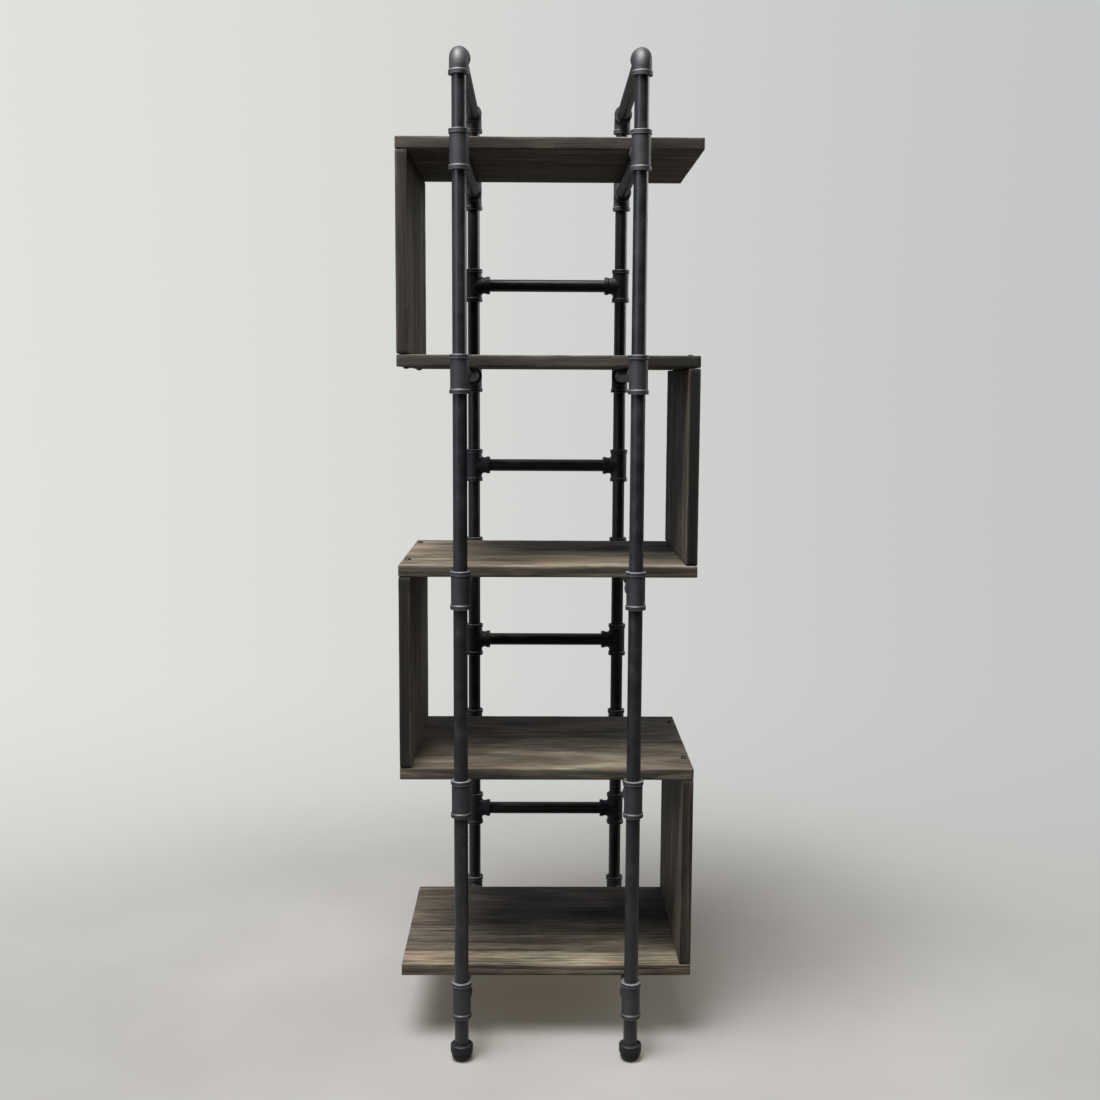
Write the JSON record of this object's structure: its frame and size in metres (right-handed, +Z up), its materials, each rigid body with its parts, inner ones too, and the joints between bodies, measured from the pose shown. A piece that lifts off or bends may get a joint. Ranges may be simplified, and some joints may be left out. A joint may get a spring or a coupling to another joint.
{
  "type": "pipe shelf bookcase",
  "caption": "Tall open bookcase: boards in a zigzag, carried on bracket pipes between two side frames of screwed black pipe that stand on round foot caps.",
  "frame": {"origin": "on the floor, in the middle of the four feet", "axes": "+X to the right seen from the front, +Y to the back, where the crossbars are, +Z up"},
  "size_m": [0.457, 0.4904, 1.5143],
  "materials": {
    "stained_wood": "dark grey-brown stain on a coarse-grained board, matt, worn paler along the arrises",
    "black_steel_pipe": "black lacquered steel pipe, satin",
    "malleable_iron": "black malleable iron casting, satin, bare metal showing on the rims of the bands",
    "black_screw": "black phosphate coating, satin"
  },
  "bodies": {
    "root": {"board_screws": "black_screw", "bracket_left_1": "black_steel_pipe", "bracket_left_2": "black_steel_pipe", "bracket_left_3": "black_steel_pipe", "bracket_left_4": "black_steel_pipe", "bracket_left_5": "black_steel_pipe", "bracket_right_1": "black_steel_pipe", "bracket_right_2": "black_steel_pipe", "bracket_right_3": "black_steel_pipe", "bracket_right_4": "black_steel_pipe", "bracket_right_5": "black_steel_pipe", "crossbar_1": "black_steel_pipe", "crossbar_2": "black_steel_pipe", "crossbar_3": "black_steel_pipe", "crossbar_4": "black_steel_pipe", "crossbar_tees_left": "malleable_iron", "crossbar_tees_right": "malleable_iron", "elbow_front_left": "malleable_iron", "elbow_front_right": "malleable_iron", "elbow_rear_left": "malleable_iron", "elbow_rear_right": "malleable_iron", "foot_cap_front_left": "malleable_iron", "foot_cap_front_right": "malleable_iron", "foot_cap_rear_left": "malleable_iron", "foot_cap_rear_right": "malleable_iron", "foot_nipple_front_left": "black_steel_pipe", "foot_nipple_front_right": "black_steel_pipe", "foot_nipple_rear_left": "black_steel_pipe", "foot_nipple_rear_right": "black_steel_pipe", "riser_front_left_1": "black_steel_pipe", "riser_front_left_2": "black_steel_pipe", "riser_front_left_3": "black_steel_pipe", "riser_front_left_4": "black_steel_pipe", "riser_front_right_1": "black_steel_pipe", "riser_front_right_2": "black_steel_pipe", "riser_front_right_3": "black_steel_pipe", "riser_front_right_4": "black_steel_pipe", "risers_rear_left": "black_steel_pipe", "risers_rear_right": "black_steel_pipe", "shelf_1": "stained_wood", "shelf_2": "stained_wood", "shelf_3": "stained_wood", "shelf_4": "stained_wood", "shelf_5": "stained_wood", "shelf_tees_front_left": "malleable_iron", "shelf_tees_front_right": "malleable_iron", "shelf_tees_rear_left": "malleable_iron", "shelf_tees_rear_right": "malleable_iron", "side_board_1": "stained_wood", "side_board_2": "stained_wood", "side_board_3": "stained_wood", "side_board_4": "stained_wood", "top_nipple_front_left": "black_steel_pipe", "top_nipple_front_right": "black_steel_pipe", "top_nipple_rear_left": "black_steel_pipe", "top_nipple_rear_right": "black_steel_pipe", "top_rail_left": "black_steel_pipe", "top_rail_right": "black_steel_pipe"}
  },
  "joints": []
}
